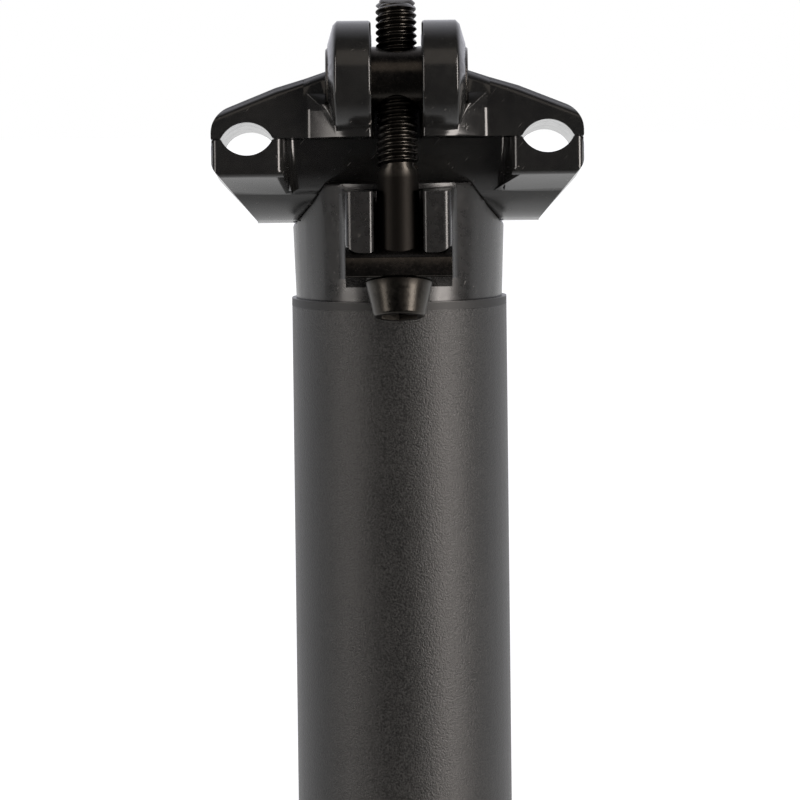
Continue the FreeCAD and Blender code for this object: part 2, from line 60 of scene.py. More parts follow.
# Scratches: long thin noise, cut off high so that only a few show. Real ones are too fine for the
# render, so they are drawn wider
SCRATCH_MM = 0.4
SCRATCH_DEPTH_MM = 0.004
SCRATCH_SQUASH = (0.07, 1.0, 1.0)
SCRATCH_TURN = (0.5, 0.8, 0.4)
SCRATCH_CUT = (0.72, 0.79)
SCRATCH_PALENESS = 0.15
# Worn flecks on the rounded edges
FLECK_MM = 0.9
FLECK_CUT = (0.68, 0.72)
# How far each side of its middle the noise that tints a surface reaches
NOISE_REACH = 0.3


class Body(Enum):
    """The rigid bodies that the pieces ride on."""

    POST = "post"
    SADDLE_CLAMP = "saddle_clamp"
    REAR_BOLT_SET = "rear_bolt_set"
    FRONT_BOLT_SET = "front_bolt_set"
    REAR_NUT = "rear_nut"
    FRONT_NUT = "front_nut"


class Slot(Enum):
    """The record's material slots."""

    TUBE = "tube_anodised"
    FORGING = "forging_black"
    CLAMP = "clamp_black"
    STEEL = "steel_black"


class End(Enum):
    """The two ends of the head, by their side of the post along Y."""

    REAR = -1
    FRONT = 1


def colour(code: str) -> tuple[float, float, float, float]:
    """Turn an sRGB hex code into linear light.

    Args:
        code: The colour as "#rrggbb".

    Returns:
        Red, green, blue and full alpha.
    """
    parts = [int(code[start:start + 2], 16) / 255 for start in (1, 3, 5)]
    linear = [part / 12.92 if part <= 0.04045 else ((part + 0.055) / 1.055) ** 2.4 for part in parts]
    return (*linear, 1.0)


def add_node(tree: bpy.types.NodeTree, kind: str, inputs: dict | None = None,
             **settings: object) -> bpy.types.Node:
    """Add a node with its settings, and fill or link its inputs.

    Args:
        tree: The node tree that gets it.
        kind: The node's type name.
        inputs: Input name or number to a value, or to the output socket that feeds it.
        **settings: The node's own properties.

    Returns:
        The new node.
    """
    node = tree.nodes.new(kind)
    for name, value in settings.items():
        setattr(node, name, value)
    for name, value in (inputs or {}).items():
        if isinstance(value, bpy.types.NodeSocket):
            tree.links.new(value, node.inputs[name])
        else:
            node.inputs[name].default_value = value
    return node


def new_tree(name: str) -> tuple[bpy.types.Material, bpy.types.NodeTree]:
    """Start an empty node material.

    Args:
        name: The material's name.

    Returns:
        The material and its node tree.
    """
    material = bpy.data.materials.new(name)
    material.use_nodes = True
    material.node_tree.nodes.clear()
    return material, material.node_tree


@dataclass(frozen=True)
class Band:
    """A stretch of the height, in millimetres, where a finish is darker and duller."""

    low: float
    high: float
    tint: str
    roughness: float
    fade: float = 0.1


@dataclass(frozen=True)
class Finish:
    """A metal surface: its colour, its gloss, and the grain that its making left.

    The grain is fine noise that tints, roughens and dents the surface. The drift is slow noise that
    keeps a large face from being the same all over. The scuffs are long thin scratches, and the worn
    share is how much of the rounded edges has lost its black.
    """

    name: str
    dark: str
    light: str
    roughness: tuple[float, float]
    grain_mm: float
    grain_depth_mm: float
    drift_mm: float
    scuff: float = 0.0
    worn: float = 0.0
    contrast: float = 1.0
    drift_share: float = 1.0
    metallic: float = 0.0
    ior: float = 1.6
    band: Band | None = None

    def material(self) -> bpy.types.Material:
        """Build the finish as a material, or fetch it if it is already there.

        Returns:
            The material.
        """
        found = bpy.data.materials.get(self.name)
        if found:
            return found
        material, tree = new_tree(self.name)
        place = add_node(tree, "ShaderNodeTexCoord").outputs["Object"]
        grain = add_node(tree, "ShaderNodeTexNoise", {
            "Vector": place, "Scale": 1 / (self.grain_mm * MM), "Detail": 2.0, "Roughness": 0.6,
        }).outputs["Fac"]
        drift = add_node(tree, "ShaderNodeTexNoise", {
            "Vector": place, "Scale": 1 / (self.drift_mm * MM), "Detail": 3.0, "Roughness": 0.55,
        }).outputs["Fac"]
        blend = add_node(tree, "ShaderNodeMath", {0: drift, 1: self.drift_share, 2: grain},
                         operation="MULTIPLY_ADD").outputs[0]
        middle, spread = (1 + self.drift_share) / 2, NOISE_REACH / self.contrast
        share = add_node(tree, "ShaderNodeMapRange", {
            "Value": blend, "From Min": middle - spread, "From Max": middle + spread,
        }).outputs["Result"]
        tint = add_node(tree, "ShaderNodeMix", {
            "Factor": share, "A": colour(self.dark), "B": colour(self.light),
        }, data_type="RGBA").outputs["Result"]
        gloss = add_node(tree, "ShaderNodeMapRange", {
            "Value": share, "To Min": self.roughness[0], "To Max": self.roughness[1],
        }).outputs["Result"]
        bump = add_node(tree, "ShaderNodeBump", {
            "Height": grain, "Distance": self.grain_depth_mm * MM, "Strength": 1.0,
        }).outputs["Normal"]
        if self.band:
            tint, gloss = self._add_band(tree, place, tint, gloss)
        if self.scuff:
            tint, gloss, bump = self._add_scuffs(tree, place, tint, gloss, bump)
        if self.worn:
            tint = self._add_wear(tree, place, tint)
        shader = add_node(tree, "ShaderNodeBsdfPrincipled", {
            "Base Color": tint, "Metallic": self.metallic, "Roughness": gloss, "IOR": self.ior,
            "Normal": bump,
        })
        add_node(tree, "ShaderNodeOutputMaterial", {"Surface": shader.outputs["BSDF"]})
        return material

    def _add_band(self, tree: bpy.types.NodeTree, place: bpy.types.NodeSocket, tint: bpy.types.NodeSocket,
                  gloss: bpy.types.NodeSocket) -> tuple[bpy.types.NodeSocket, bpy.types.NodeSocket]:
        """Darken and dull the band.

        Args:
            tree: The material's nodes.
            place: The object coordinates.
            tint: The colour so far.
            gloss: The roughness so far.

        Returns:
            The colour and the roughness with the band.
        """
        band = self.band
        height = add_node(tree, "ShaderNodeSeparateXYZ", {0: place}).outputs["Z"]
        middle, half = (band.low + band.high) / 2 * MM, (band.high - band.low) / 2 * MM
        away = add_node(tree, "ShaderNodeMath", {0: height, 1: middle}, operation="SUBTRACT").outputs[0]
        far = add_node(tree, "ShaderNodeMath", {0: away}, operation="ABSOLUTE").outputs[0]
        inside = add_node(tree, "ShaderNodeMapRange", {
            "Value": far, "From Min": half - band.fade * MM, "From Max": half + band.fade * MM,
            "To Min": 1.0, "To Max": 0.0,
        }).outputs["Result"]
        tint = add_node(tree, "ShaderNodeMix", {"Factor": inside, "A": tint, "B": colour(band.tint)},
                        data_type="RGBA").outputs["Result"]
        gloss = add_node(tree, "ShaderNodeMix", {"Factor": inside, "A": gloss, "B": band.roughness},
                         data_type="FLOAT").outputs["Result"]
        return tint, gloss

    def _add_scuffs(
        self,
        tree: bpy.types.NodeTree,
        place: bpy.types.NodeSocket,
        tint: bpy.types.NodeSocket,
        gloss: bpy.types.NodeSocket,
        bump: bpy.types.NodeSocket,
    ) -> tuple[bpy.types.NodeSocket, bpy.types.NodeSocket, bpy.types.NodeSocket]:
        """Add fine scratches, as stretched noise that is cut off high.

        Args:
            tree: The material's nodes.
            place: The object coordinates.
            tint: The colour so far.
            gloss: The roughness so far.
            bump: The normal so far.

        Returns:
            The colour, the roughness and the normal with the scratches.
        """
        turned = add_node(tree, "ShaderNodeVectorRotate", {"Vector": place, "Rotation": SCRATCH_TURN},
                          rotation_type="EULER_XYZ").outputs["Vector"]
        stretched = add_node(tree, "ShaderNodeMapping", {
            "Vector": turned, "Scale": SCRATCH_SQUASH,
        }).outputs["Vector"]
        lines = add_node(tree, "ShaderNodeTexNoise", {
            "Vector": stretched, "Scale": 1 / (SCRATCH_MM * MM), "Detail": 1.0, "Roughness": 0.4,
        }).outputs["Fac"]
        scratch = add_node(tree, "ShaderNodeMapRange", {
            "Value": lines, "From Min": SCRATCH_CUT[0], "From Max": SCRATCH_CUT[1],
        }).outputs["Result"]
        pale = add_node(tree, "ShaderNodeMath", {0: scratch, 1: SCRATCH_PALENESS},
                        operation="MULTIPLY").outputs[0]
        tint = add_node(tree, "ShaderNodeMix", {"Factor": pale, "A": tint, "B": colour(BARE_METAL)},
                        data_type="RGBA").outputs["Result"]
        amount = add_node(tree, "ShaderNodeMath", {0: scratch, 1: self.scuff},
                          operation="MULTIPLY").outputs[0]
        rougher = add_node(tree, "ShaderNodeMath", {0: gloss, 1: amount}, operation="ADD", use_clamp=True)
        cut = add_node(tree, "ShaderNodeBump", {
            "Height": scratch, "Distance": -SCRATCH_DEPTH_MM * MM, "Strength": 1.0, "Normal": bump,
        })
        return tint, rougher.outputs[0], cut.outputs["Normal"]

    def _add_wear(self, tree: bpy.types.NodeTree, place: bpy.types.NodeSocket,
                  tint: bpy.types.NodeSocket) -> bpy.types.NodeSocket:
        """Let bare metal show in small flecks along the rounded edges.

        Args:
            tree: The material's nodes.
            place: The object coordinates.
            tint: The colour so far.

        Returns:
            The colour with the flecks.
        """
        edge = add_node(tree, "ShaderNodeAttribute", attribute_name=EDGE_LAYER).outputs["Fac"]
        flecks = add_node(tree, "ShaderNodeTexNoise", {
            "Vector": place, "Scale": 1 / (FLECK_MM * MM), "Detail": 4.0, "Roughness": 0.7,
        }).outputs["Fac"]
        bare = add_node(tree, "ShaderNodeMapRange", {
            "Value": flecks, "From Min": FLECK_CUT[0] - self.worn, "From Max": FLECK_CUT[1] - self.worn,
        }).outputs["Result"]
        amount = add_node(tree, "ShaderNodeMath", {0: bare, 1: edge}, operation="MULTIPLY").outputs[0]
        return add_node(tree, "ShaderNodeMix", {"Factor": amount, "A": tint, "B": colour(BARE_METAL)},
                        data_type="RGBA").outputs["Result"]


# Drawn tube, bead-blasted and black anodised: the dyed oxide is near black, and the fine blasted
# dimples spread its weak gloss into a broad grey sheen that glitters a little. They are drawn at about
# two pixels of the render, because real ones are too fine to show
BLASTED_TUBE = Finish("bead_blasted_black_anodised_aluminium", "#060606", "#2b2b2a", (0.4, 0.5),
                      grain_mm=0.26, grain_depth_mm=0.075, drift_mm=14, contrast=2.0, drift_share=0.2)
# Forging, tumbled and black anodised: smoother than the tube, with a faint orange peel. Its collar was
# blasted with the tube, so it is dull
FORGED_HEAD = Finish("tumbled_black_anodised_forging", "#171717", "#212121", (0.25, 0.32),
                     grain_mm=1.1, grain_depth_mm=0.0025, drift_mm=9, scuff=0.14, worn=0.02,
                     band=Band(low=325.3, high=326.45, tint="#101010", roughness=0.55))
# The clamp's halves, polished before they were black anodised: nearly black, with clear reflections
POLISHED_CLAMP = Finish("polished_black_anodised_forging", "#171717", "#1f1f1e", (0.14, 0.2),
                        grain_mm=1.4, grain_depth_mm=0.0025, drift_mm=8, scuff=0.16, worn=0.03)
# Machined steel with black oxide: a dark metal, slightly brown in the light
BLACK_OXIDE = Finish("black_oxide_steel", "#383633", "#4e4a46", (0.2, 0.3),
                     grain_mm=0.5, grain_depth_mm=0.003, drift_mm=5, metallic=1.0, ior=1.5)
# The same on the bolts, with a band along the plain shanks: its darker tint is painted shade where the
# fork's prongs keep the side lamps off, and it is rougher, which dulls the gloss
BOLT_WITH_PAINTED_SHANK_SHADE = Finish("black_oxide_steel_painted_shank_shade", "#33312e", "#474440", (0.26, 0.38),
                    grain_mm=0.5, grain_depth_mm=0.003, drift_mm=5, metallic=1.0, ior=1.5,
                    band=Band(low=330.2, high=345.2, tint="#211f1d", roughness=0.5, fade=0.6))


def weighted_normals(bm: bmesh.types.BMesh) -> list[Vector]:
    """Work out shading normals in which a large face outweighs the narrow rounds beside it.

    Args:
        bm: The shape.

    Returns:
        One normal for each corner of each face, in the mesh's order.
    """
    limit = math.cos(math.radians(SMOOTH_ANGLE))
    bm.normal_update()
    weights = {face: face.normal * face.calc_area() * SQUARE_MM for face in bm.faces}
    normals = []
    for face in bm.faces:
        for loop in face.loops:
            shared = (weights[other] for other in loop.vert.link_faces
                      if face.normal.dot(other.normal) > limit)
            normals.append(sum(shared, Vector()).normalized())
    return normals


def finish_object(mesh_name: str, bm: bmesh.types.BMesh, body: Body, finish: Finish,
                  replaced: str) -> bpy.types.Object:
    """Turn a bmesh into a finished piece that rides on its body in place of a CAD node.

    Args:
        mesh_name: The piece's name.
        bm: Its shape, in metres in the row's frame. It is freed.
        body: The body it rides on.
        finish: Its surface.
        replaced: The CAD node it stands for.

    Returns:
        The new object.
    """
    mesh = bpy.data.meshes.new(mesh_name)
    normals = weighted_normals(bm)
    bm.to_mesh(mesh)
    bm.free()
    mesh.shade_smooth()
    mesh.normals_split_custom_set(normals)
    mesh.materials.append(finish.material())
    piece = bpy.data.objects.new(mesh_name, mesh)
    bpy.context.scene.collection.objects.link(piece)
    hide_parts(replaced)
    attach(piece, body.value)
    return piece


@dataclass(frozen=True)
class SoftEdge:
    """Edges that the forging die or the polishing made rounder than the rest.

    The edges are those whose middle lies in a box, taken at both sides of X and of Y, in the frame
    of the piece: its origin is the middle of the cradle's axis, and it leans as the piece does.
    """

    round_mm: float
    low: tuple[float, float, float]
    high: tuple[float, float, float]
    wears: bool = True

    def holds(self, spot: Vector) -> bool:
        """Tell whether a point in the piece's frame, in millimetres, is in the box."""
        folded = (abs(spot.x), abs(spot.y), spot.z)
        return all(low <= number <= high for low, number, high in zip(self.low, folded, self.high))


@dataclass
class MachinedShell:
    """A piece whose CAD solid has the right shape: it gets broken edges and smooth shading."""

    node: str
    name: str
    body: Body
    slot: Slot
    finish: Finish
    edge_mm: float
    soft: tuple[SoftEdge, ...] = ()
    tilt: float = 0.0
    infills: tuple[list[Vector], ...] = ()

    def build(self) -> bpy.types.Object:
        """Copy the CAD mesh, join its triangles into faces and round its sharp edges.

        Returns:
            The finished piece.
        """
        bm = bmesh.new()
        bm.from_mesh(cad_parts[self.node].data)
        bmesh.ops.remove_doubles(bm, verts=bm.verts, dist=MERGE_MM * MM)
        bmesh.ops.dissolve_limit(bm, angle_limit=math.radians(FLAT_ANGLE), verts=bm.verts, edges=bm.edges)
        worn = bm.loops.layers.float.new(EDGE_LAYER)
        for soft in self.soft:
            chosen = [edge for edge in self._sharp(bm) if soft.holds(self._own_spot(edge))]
            LOG.info("%s: %d edges rounded to %.2f mm", self.name, len(chosen), soft.round_mm)
            self._mark(self._round(bm, chosen, soft.round_mm, False), worn, soft.wears)
        self._mark(self._round(bm, self._sharp(bm), self.edge_mm, True), worn, True)
        for corners in self.infills:
            self._fill(bm, corners)
        return finish_object(self.name, bm, self.body, self.finish, self.node)

    def _own_spot(self, edge: bmesh.types.BMEdge) -> Vector:
        """Give an edge's middle in the piece's own frame, in millimetres."""
        middle = (edge.verts[0].co + edge.verts[1].co) / (2 * MM) - Vector((0, 0, CRADLE_HEIGHT))
        return Matrix.Rotation(math.radians(self.tilt), 3, "X") @ middle

    def _fill(self, bm: bmesh.types.BMesh, corners: list[Vector]) -> None:
        """Add a block of the same forging at both sides of X and of Y.

        Args:
            bm: The piece's mesh.
            corners: The block's corners in the piece's own frame, in millimetres.
        """
        back = Matrix.Rotation(math.radians(-self.tilt), 3, "X")
        for side, end in ((1, 1), (1, -1), (-1, 1), (-1, -1)):
            spots = [back @ Vector((side * spot.x, end * spot.y, spot.z)) + Vector((0, 0, CRADLE_HEIGHT))
                     for spot in corners]
            made = bmesh.ops.convex_hull(bm, input=[bm.verts.new(spot * MM) for spot in spots])
            loose = [item for item in made["geom_interior"] if isinstance(item, bmesh.types.BMVert)]
            bmesh.ops.delete(bm, geom=loose, context="VERTS")

    @staticmethod
    def _sharp(bm: bmesh.types.BMesh) -> list[bmesh.types.BMEdge]:
        """List the edges that aren't shaded as one surface."""
        limit = math.radians(SMOOTH_ANGLE)
        return [edge for edge in bm.edges if edge.is_manifold and edge.calc_face_angle() > limit]

    @staticmethod
    def _round(bm: bmesh.types.BMesh, edges: list[bmesh.types.BMEdge], size: float,
               clamped: bool) -> list[bmesh.types.BMFace]:
        """Round edges.

        Args:
            bm: The piece's mesh.
            edges: The edges to round.
            size: How far the round reaches along each face, in millimetres.
            clamped: Whether the size gives way where the faces are too narrow for it.

        Returns:
            The new faces.
        """
        if not edges:
            return []
        return bmesh.ops.bevel(bm, geom=edges, offset=size * MM, segments=ROUND_SEGMENTS, profile=0.5,
                               affect="EDGES", material=-1, clamp_overlap=clamped)["faces"]

    @staticmethod
    def _mark(faces: list[bmesh.types.BMFace], worn: bmesh.types.BMLayerItem, wears: bool) -> None:
        """Mark faces as places that wear, or that don't.

        Args:
            faces: The faces.
            worn: The layer that holds the mark on each corner.
            wears: Whether the black wears off there.
        """
        for face in faces:
            for loop in face.loops:
                loop[worn] = 1.0 if wears else 0.0


@dataclass
class AdjustingBolt:
    """A bolt with a conical socket head and a rolled thread, in its own frame until it is placed.

    Its own frame has the under-head plane at z = 0 and the shank along +Z. Sizes are in millimetres.
    """

    end: End
    shank_radius: float = 3.0
    length: float = 40.0
    thread_length: float = 24.0
    # The cone from the shank to the thread's core: how far it reaches to each side
    runout_back: float = 0.3
    runout_front: float = 0.5
    pitch: float = 1.0
    root_radius: float = 2.42
    crest_radius: float = 2.92
    crest_round: float = 0.04
    # How deep the ridge's foot is sunk in the core
    ridge_sink: float = 0.2
    core_chamfer: float = 0.3
    tip_chamfer: float = 0.8
    head_height: float = 5.0
    head_top_radius: float = 4.75
    head_bottom_radius: float = 3.7
    # About how much radius the head's cone loses in each millimetre
    head_taper: float = 0.2
    head_edge: float = 0.15
    head_chamfer: float = 0.4
    # The middle point of the chamfer's round, as a share of the chamfer
    round_share: float = 0.3
    # A 5 mm socket across its flats, with a narrow flat land round its mouth
    hex_radius: float = 5 / math.sqrt(3)
    hex_depth: float = 3.0
    hex_land: float = 0.25
    steps: int = 64
    thread_steps: int = 40
    # Corners nearer than this are joined
    join_gap: float = 0.001

    def build(self, place: Matrix) -> bpy.types.Object:
        """Build the bolt and put it in place.

        Args:
            place: From the bolt's own frame in millimetres to the row's frame in metres.

        Returns:
            The finished piece.
        """
        bm = bmesh.new()
        ring = self._turn_blank(bm)
        self._broach_socket(bm, ring)
        self._roll_thread(bm)
        bmesh.ops.remove_doubles(bm, verts=bm.verts, dist=self.join_gap)
        bmesh.ops.recalc_face_normals(bm, faces=bm.faces)
        bmesh.ops.transform(bm, matrix=place, verts=bm.verts)
        side = self.end.name.lower()
        return finish_object(f"{side}_adjusting_bolt", bm, Body[f"{self.end.name}_BOLT_SET"],
                             BOLT_WITH_PAINTED_SHANK_SHADE, f"{side}_bolt")

    def _turn_blank(self, bm: bmesh.types.BMesh) -> list[bmesh.types.BMEdge]:
        """Turn the head, the plain shank and the thread's core.

        Args:
            bm: The bolt's mesh.

        Returns:
            The open ring at the head's end, which the socket joins.
        """
        thread_start, foot = self.length - self.thread_length, -self.head_height
        chamfer, bulge = self.head_chamfer, self.head_chamfer * self.round_share
        outline = [
            (self.hex_radius + self.hex_land, foot),
            (self.head_bottom_radius - chamfer, foot),
            (self.head_bottom_radius - bulge, foot + bulge),
            (self.head_bottom_radius, foot + chamfer),
            (self.head_top_radius - self.head_edge * self.head_taper, -self.head_edge),
            (self.head_top_radius - self.head_edge, 0.0),
            (self.shank_radius, 0.0),
            (self.shank_radius, thread_start - self.runout_back),
            (self.root_radius, thread_start + self.runout_front),
            (self.root_radius, self.length - self.core_chamfer),
            (self.root_radius - self.core_chamfer, self.length),
            (0.0, self.length),
        ]
        points = [bm.verts.new((radius, 0.0, height)) for radius, height in outline]
        edges = [bm.edges.new(pair) for pair in zip(points, points[1:])]
        bmesh.ops.spin(bm, geom=points + edges, cent=(0, 0, 0), axis=(0, 0, 1), angle=math.tau,
                       steps=self.steps, use_merge=True)
        bmesh.ops.remove_doubles(bm, verts=bm.verts, dist=self.join_gap)
        return [edge for edge in bm.edges if edge.is_boundary]

    def _broach_socket(self, bm: bmesh.types.BMesh, ring: list[bmesh.types.BMEdge]) -> None:
        """Sink the hexagonal socket into the head.

        Args:
            bm: The bolt's mesh.
            ring: The open ring that the turning left.
        """
        made = bmesh.ops.create_circle(bm, segments=6, radius=self.hex_radius, cap_ends=False,
                                       matrix=Matrix.Translation((0, 0, -self.head_height)))
        mouth = list(dict.fromkeys(edge for vert in made["verts"] for edge in vert.link_edges))
        bmesh.ops.bridge_loops(bm, edges=ring + mouth)
        sunk = bmesh.ops.extrude_edge_only(bm, edges=mouth)["geom"]
        floor = [item for item in sunk if isinstance(item, bmesh.types.BMVert)]
        bmesh.ops.translate(bm, verts=floor, vec=(0, 0, self.hex_depth))
        rim = [item for item in sunk if isinstance(item, bmesh.types.BMEdge)]
        bmesh.ops.contextual_create(bm, geom=rim)

    def _roll_thread(self, bm: bmesh.types.BMesh) -> None:
        """Wind the thread's ridge round the core, and chamfer it at the bolt's tip.

        Args:
            bm: The bolt's mesh.
        """
        start = self.length - self.thread_length
        # One turn less than the length holds, because the section is itself one pitch high
        turns = self.thread_length / self.pitch - 1
        # Radius, and height as a share of the pitch: sunk foot, flank, flat crest, flank, sunk foot
        section = [
            (self.root_radius - self.ridge_sink, 0.0),
            (self.root_radius, 0.06),
            (self.crest_radius - self.crest_round, 0.41),
            (self.crest_radius, 0.45),
            (self.crest_radius, 0.55),
            (self.crest_radius - self.crest_round, 0.59),
            (self.root_radius, 0.94),
            (self.root_radius - self.ridge_sink, 1.0),
        ]
        points = [bm.verts.new((radius, 0.0, start + height * self.pitch)) for radius, height in section]
        edges = [bm.edges.new(pair) for pair in zip(points, points[1:] + points[:1])]
        steps = int(turns * self.thread_steps)
        before = set(bm.verts) - set(points)
        bmesh.ops.spin(bm, geom=points + edges, cent=(0, 0, 0), axis=(0, 0, 1), angle=math.tau * turns,
                       steps=steps, dvec=(0, 0, self.pitch * turns / steps), use_merge=False)
        ridge = [vert for vert in bm.verts if vert not in before]
        bmesh.ops.holes_fill(bm, edges=[edge for edge in bm.edges if edge.is_boundary], sides=0)
        for vert in ridge:
            allowed = self.shank_radius - max(0.0, vert.co.z - (self.length - self.tip_chamfer))
            reach = vert.co.xy.length
            if reach > allowed:
                vert.co.xy *= allowed / reach


@dataclass
class BoltSet:
    """One end's bolt, washer and nut, placed from the CAD's own sizes in millimetres."""

    end: End
    bolt_reach: float = 21.7
    pivot_height: float = 329.8
    cradle_height: float = CRADLE_HEIGHT
    nut_reach: float = 15.5
    nut_height: float = 7.1
    clamp_tilt: float = CLAMP_TILT

    def place(self) -> Matrix:
        """Give the bolt's place.

        Returns:
            From the bolt's own frame in millimetres to the row's frame in metres.
        """
        side, tilt = self.end.value, math.radians(self.clamp_tilt)
        nut_y = side * self.nut_reach * math.cos(tilt) + self.nut_height * math.sin(tilt)
        nut_z = (self.cradle_height - side * self.nut_reach * math.sin(tilt)
                 + self.nut_height * math.cos(tilt))
        pivot = Vector((0, side * self.bolt_reach, self.pivot_height))
        lean = -math.atan2(nut_y - pivot.y, nut_z - pivot.z)
        return Matrix.Scale(MM, 4) @ Matrix.Translation(pivot) @ Matrix.Rotation(lean, 4, "X")

    def build(self) -> list[bpy.types.Object]:
        """Build the bolt, the half-round washer and the barrel nut.

        Returns:
            The finished pieces.
        """
        side, name = self.end.name.lower(), self.end.name
        return [
            AdjustingBolt(self.end).build(self.place()),
            MachinedShell(f"{side}_washer", f"{side}_half_round_washer", Body[f"{name}_BOLT_SET"],
                          Slot.STEEL, BLACK_OXIDE, edge_mm=0.15).build(),
            MachinedShell(f"{side}_barrel_nut", f"{side}_cross_nut", Body[f"{name}_NUT"],
                          Slot.STEEL, BLACK_OXIDE, edge_mm=0.1).build(),
        ]


@dataclass
class Post:
    """The tube and the forged head that is bonded into it."""

    # The rims of the cradle, which the die left round
    cradle_rim: SoftEdge = SoftEdge(round_mm=0.5, low=(3.6, 0.0, -13.2), high=(15.6, 13.0, -3.0))
    shells: list[MachinedShell] = field(init=False)

    def __post_init__(self) -> None:
        """List the two pieces."""
        self.shells = [
            MachinedShell("post_tube", "blasted_tube", Body.POST, Slot.TUBE, BLASTED_TUBE, edge_mm=0.15),
            MachinedShell("clamp_head", "forged_head", Body.POST, Slot.FORGING, FORGED_HEAD, edge_mm=0.25,
                          soft=(self.cradle_rim,)),
        ]

    def build(self) -> list[bpy.types.Object]:
        """Build the tube and the head."""
        return [shell.build() for shell in self.shells]


@dataclass
class SaddleClamp:
    """The two forged halves that hold the saddle's rails."""

    tilt: float = CLAMP_TILT
    # The inner corners of the rail blocks, and the hollow corners between the blocks and the barrel
    block_corner: SoftEdge = SoftEdge(round_mm=1.1, low=(16.0, 16.2, -6.2), high=(16.8, 16.8, -1.6))
    waist_corner: SoftEdge = SoftEdge(round_mm=1.2, low=(14.9, 9.5, -8.6), high=(15.6, 12.75, -1.45),
                                      wears=False)
    # The inner rims of the ears
    ear_rim: SoftEdge = SoftEdge(round_mm=0.45, low=(3.55, 5.0, -1.2), high=(3.65, 24.0, 17.0))
    # The lid and the web are filled in beside the nuts: from the nut's end to past the bore's end
    infill_start: float = 10.16
    lid_top: tuple[tuple[float, float], ...] = ((10.16, 8.12), (11.2, 7.68), (13.8, 6.9))
    lid_front: float = 16.48
    lid_chamfer: float = 1.22
    bore_back: float = 10.9
    bore_foot: float = 2.5
    seam: float = -1.3
    web_centre: float = 11.2
    web_radius: float = 8.2
    web_root: float = 12.8
    web_slant: float = 35.0
    web_top: float = 4.9
    web_overlap: float = 0.3
    web_angles: tuple[float, ...] = (27.6, 33.0, 38.5, 44.0, 49.8)
    shells: list[MachinedShell] = field(init=False)

    def __post_init__(self) -> None:
        """List the two pieces."""
        self.shells = [
            MachinedShell("lower_clamp", "lower_clamp_half", Body.SADDLE_CLAMP, Slot.CLAMP, POLISHED_CLAMP,
                          edge_mm=0.3, soft=(self.block_corner, self.waist_corner), tilt=self.tilt),
            MachinedShell("upper_clamp", "upper_clamp_half", Body.SADDLE_CLAMP, Slot.CLAMP, POLISHED_CLAMP,
                          edge_mm=0.3, soft=(self.ear_rim,), tilt=self.tilt,
                          infills=(self._lid_infill(), self._web_infill())),
        ]

    def _lid_infill(self) -> list[Vector]:
        """Give the corners of the lid's part beside a bore.

        Returns:
            The corners in the clamp's own frame, in millimetres.
        """
        corners = []
        for reach, top in self.lid_top:
            corners += [
                Vector((reach, self.bore_back, self.bore_foot)),
                Vector((reach, self.bore_back, top)),
                Vector((reach, self.lid_front - self.lid_chamfer, top)),
                Vector((reach, self.lid_front, top - self.lid_chamfer)),
                Vector((reach, self.lid_front, self.bore_foot)),
            ]
        return corners

    def _web_infill(self) -> list[Vector]:
        """Give the corners of the web's part beside a bore: round in front, with its slanted flank.

        Returns:
            The corners in the clamp's own frame, in millimetres.
        """
        inside = self.lid_front - self.web_overlap
        corners = [Vector((reach, inside, height)) for reach in (self.infill_start, self.web_root)
                   for height in (self.bore_foot, self.web_top)]
        for angle in self.web_angles:
            y = self.web_centre + self.web_radius * math.cos(math.radians(angle))
            z = self.seam + self.web_radius * math.sin(math.radians(angle))
            flank = self.web_root - (y - self.lid_front) / math.tan(math.radians(self.web_slant))
            corners += [Vector((self.infill_start, y, z)), Vector((flank, y, z)),
                        Vector((self.infill_start, y, self.bore_foot)), Vector((flank, y, self.bore_foot))]
        return corners

    def build(self) -> list[bpy.types.Object]:
        """Build the two halves."""
        return [shell.build() for shell in self.shells]


@dataclass(frozen=True)
class SoftBox:
    """A soft lamp that faces the head: its place and its size in metres, its watts and its colour."""

    name: str
    spot: tuple[float, float, float]
    size: tuple[float, float]
    power: float
    tint: str


